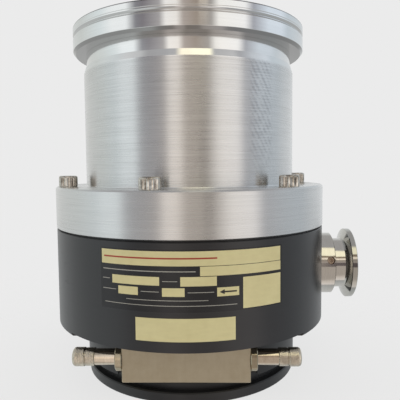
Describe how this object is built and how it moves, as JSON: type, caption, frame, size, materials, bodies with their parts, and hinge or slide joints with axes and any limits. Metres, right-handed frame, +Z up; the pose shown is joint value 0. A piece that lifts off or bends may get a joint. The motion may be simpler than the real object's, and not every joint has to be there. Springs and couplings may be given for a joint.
{
  "type": "turbomolecular pump",
  "caption": "Compound turbomolecular vacuum pump with a clamped inlet flange, bolted collar, black drag-stage body, side exhaust port and a water-cooling block with hose barbs.",
  "frame": {"origin": "centre of the underside of the base plate", "axes": "+Z up along the rotor axis towards the inlet, +X along the exhaust port, -Y towards the cooling block and name plates"},
  "size_m": [0.1701, 0.1684, 0.1905],
  "materials": {
    "machined_aluminium": "fine turned satin",
    "internal_aluminium": "machined",
    "black_anodised": "black anodised, semi-gloss",
    "polished_stainless": "polished",
    "nickel_fittings": "bright nickel plate",
    "nickel_block": "matte nickel plate",
    "screw_steel": "stainless",
    "screen_steel": "etched sheet",
    "shaft_steel": "ground",
    "bearing_steel": "ground and polished",
    "ceramic_balls": "polished",
    "cage_plastic": "moulded",
    "magnet_alloy": "sintered",
    "lamination_steel": "stacked sheet",
    "copper_winding": "varnished",
    "rubber_seal": "matte",
    "knob_plastic": "moulded, ribbed",
    "insert_plastic": "moulded",
    "gold_pins": "gold plate",
    "plate_film": "printed film, black with cream fields",
    "cream_film": "printed film, cream"
  },
  "bodies": {
    "pump_body": {"envelope": "machined_aluminium", "bearing_spider": "internal_aluminium", "spider_cap": "internal_aluminium", "stator_row_1": "internal_aluminium", "stator_row_2": "internal_aluminium", "stator_row_3": "internal_aluminium", "spacer_ring_1": "internal_aluminium", "spacer_ring_2": "internal_aluminium", "spacer_ring_3": "internal_aluminium", "spacer_ring_4": "internal_aluminium", "drag_stator": "internal_aluminium", "motor_housing": "internal_aluminium", "bearing_holder": "internal_aluminium", "bearing_retainer": "internal_aluminium", "body_housing": "black_anodised", "base_housing": "black_anodised", "base_plate": "black_anodised", "exhaust_port": "polished_stainless", "hose_barb_left": "nickel_fittings", "hose_barb_right": "nickel_fittings", "vent_valve_body": "nickel_fittings", "purge_plug": "nickel_fittings", "connector_shell": "nickel_fittings", "water_block": "nickel_block", "envelope_screws": "screw_steel", "exhaust_set_screw": "screw_steel", "base_plate_screws": "screw_steel", "base_housing_screws": "screw_steel", "bearing_holder_screws": "screw_steel", "water_block_screws": "screw_steel", "connector_screws": "screw_steel", "inlet_screen": "screen_steel", "screen_clip": "screen_steel", "preload_spring": "shaft_steel", "bearing_outer_race": "bearing_steel", "touchdown_outer_race": "bearing_steel", "touchdown_inner_race": "bearing_steel", "touchdown_balls": "ceramic_balls", "stator_magnets": "magnet_alloy", "motor_laminations": "lamination_steel", "motor_windings": "copper_winding", "envelope_oring": "rubber_seal", "damper_rings": "rubber_seal", "exhaust_oring": "rubber_seal", "base_oring": "rubber_seal", "connector_insert": "insert_plastic", "connector_pins": "gold_pins", "nameplate_main": "plate_film", "nameplate_lower": "cream_film"},
    "rotor": {"turbo_rotor": "internal_aluminium", "rotor_shaft": "shaft_steel", "rotor_magnets": "magnet_alloy", "motor_magnet": "magnet_alloy", "bearing_inner_race": "bearing_steel", "shaft_nut": "shaft_steel"},
    "ball_cage": {"bearing_balls": "ceramic_balls", "bearing_cage": "cage_plastic"},
    "vent_stem": {"vent_stem": "shaft_steel", "vent_seal": "rubber_seal"},
    "vent_knob": {"vent_knob": "knob_plastic"}
  },
  "joints": [
    {"name": "rotor_spin", "type": "hinge", "parent": "pump_body", "child": "rotor", "pos_m": [0, 0, 0.1], "axis": [0, 0, 1], "continuous": true},
    {"name": "cage_spin", "type": "hinge", "parent": "pump_body", "child": "ball_cage", "pos_m": [0, 0, 0.0415], "axis": [0, 0, 1], "continuous": true},
    {"name": "vent_slide", "type": "slide", "parent": "pump_body", "child": "vent_stem", "axis": [-0.5, 0.866, 0], "range_m": [0, 0.0023]},
    {"name": "vent_turn", "type": "hinge", "parent": "vent_stem", "child": "vent_knob", "pos_m": [-0.045, 0.07794, 0.057], "axis": [-0.5, 0.866, 0], "range_deg": [0, 540]}
  ],
  "couplings": [
    {"joint": "cage_spin", "follows": "rotor_spin", "ratio": 0.39189},
    {"joint": "vent_slide", "follows": "vent_turn", "m_per_rad": 0.00023873}
  ]
}
